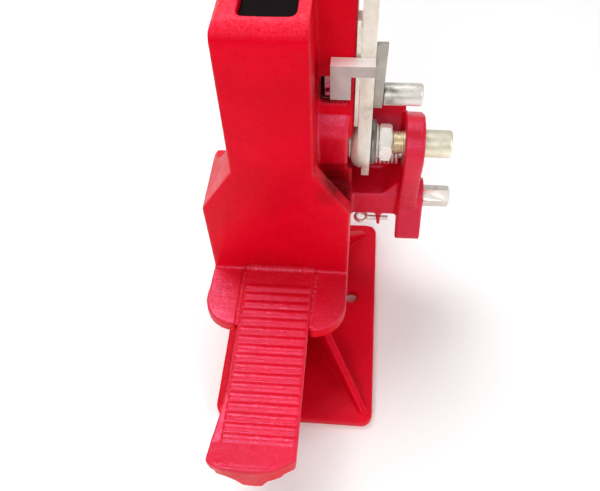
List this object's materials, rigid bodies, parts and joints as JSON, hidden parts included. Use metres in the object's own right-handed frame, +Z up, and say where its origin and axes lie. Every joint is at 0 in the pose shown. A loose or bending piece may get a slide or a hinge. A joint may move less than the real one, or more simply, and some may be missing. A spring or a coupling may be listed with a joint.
{
  "type": "ratchet toe jack",
  "caption": "Climbing ratchet jack: a toothed post on a gusseted base plate, a body with a long ribbed toe that climbs it, side trip gear and a rear socket lever.",
  "frame": {"origin": "on the rack post's axis, at the underside of the base plate", "axes": "+Z up along the rack post, -Y towards the toe, +X towards the trip gear"},
  "size_m": [0.2165, 0.4422, 0.395],
  "materials": {
    "red_enamel": "glossy enamel over rough casting and plate",
    "zinc_steel": "dull zinc plate",
    "yellow_zinc": "yellow passivated zinc",
    "black_rack": "oiled black steel",
    "dark_steel": "oiled dark steel",
    "spring_steel": "drawn spring wire"
  },
  "bodies": {
    "base": {"base_plate": "red_enamel", "rack_bar": "black_rack", "rack_collar": "red_enamel", "rack_cross_pin": "zinc_steel", "gusset_front_right": "red_enamel", "gusset_front_left": "red_enamel", "gusset_rear_right": "red_enamel", "gusset_rear_left": "red_enamel"},
    "jack": {"jack_body": "red_enamel", "toe_bar": "red_enamel", "pin_bracket": "red_enamel", "rear_cover": "red_enamel", "cover_screw_1": "zinc_steel", "cover_screw_2": "zinc_steel", "cover_screw_3": "zinc_steel", "cover_screw_4": "zinc_steel", "fulcrum_pin": "yellow_zinc", "thrust_washer": "zinc_steel", "friction_disc": "dark_steel", "cone_washer": "spring_steel", "fulcrum_nut": "zinc_steel", "spring_rod": "zinc_steel", "shaft_spring": "spring_steel", "keeper_pin": "zinc_steel", "guide_rod_left": "zinc_steel", "guide_rod_right": "zinc_steel"},
    "lever": {"socket_lever": "red_enamel", "lever_link_pin": "zinc_steel"},
    "link": {"drag_link": "zinc_steel"},
    "carrier": {"pawl_carrier": "zinc_steel", "lifting_pawl_pin": "zinc_steel"},
    "lift_pawl": {"lifting_pawl": "dark_steel"},
    "hold_pawl": {"holding_pawl": "dark_steel", "pawl_shaft": "zinc_steel", "pawl_key": "zinc_steel"},
    "trip": {"trip_lever": "zinc_steel", "wear_plate": "zinc_steel", "wear_plate_rivet_1": "zinc_steel", "wear_plate_rivet_2": "zinc_steel", "stud_arm": "zinc_steel", "trip_stud": "zinc_steel", "trip_finger": "zinc_steel", "finger_screw": "zinc_steel"}
  },
  "joints": [
    {"name": "body_lift", "type": "slide", "parent": "base", "child": "jack", "axis": [0, 0, 1], "range_m": [0, 0.14]},
    {"name": "lever_swing", "type": "hinge", "parent": "jack", "child": "lever", "pos_m": [0, 0.03, 0.201], "axis": [1, 0, 0], "range_deg": [0, 39]},
    {"name": "carrier_slide", "type": "slide", "parent": "jack", "child": "carrier", "axis": [0, 0, 1], "range_m": [0, 0.0201]},
    {"name": "link_swing", "type": "hinge", "parent": "lever", "child": "link", "pos_m": [0, 0.05824, 0.191], "axis": [1, 0, 0], "range_deg": [-39.1, 0]},
    {"name": "trip_swing", "type": "hinge", "parent": "jack", "child": "trip", "pos_m": [0, 0.03, 0.201], "axis": [1, 0, 0], "range_deg": [0, 12]},
    {"name": "lifting_pawl_swing", "type": "hinge", "parent": "carrier", "child": "lift_pawl", "pos_m": [0, 0.05, 0.17], "axis": [1, 0, 0], "range_deg": [-9.6, 0]},
    {"name": "holding_pawl_swing", "type": "hinge", "parent": "jack", "child": "hold_pawl", "pos_m": [0, 0.038, 0.127], "axis": [1, 0, 0], "range_deg": [-10.6, 0]}
  ],
  "couplings": [
    {"joint": "carrier_slide", "follows": "lever_swing", "m_per_rad": 0.029382},
    {"joint": "link_swing", "follows": "lever_swing", "ratio": -1},
    {"joint": "lifting_pawl_swing", "follows": "trip_swing", "ratio": -0.79167},
    {"joint": "holding_pawl_swing", "follows": "trip_swing", "ratio": -0.875}
  ]
}
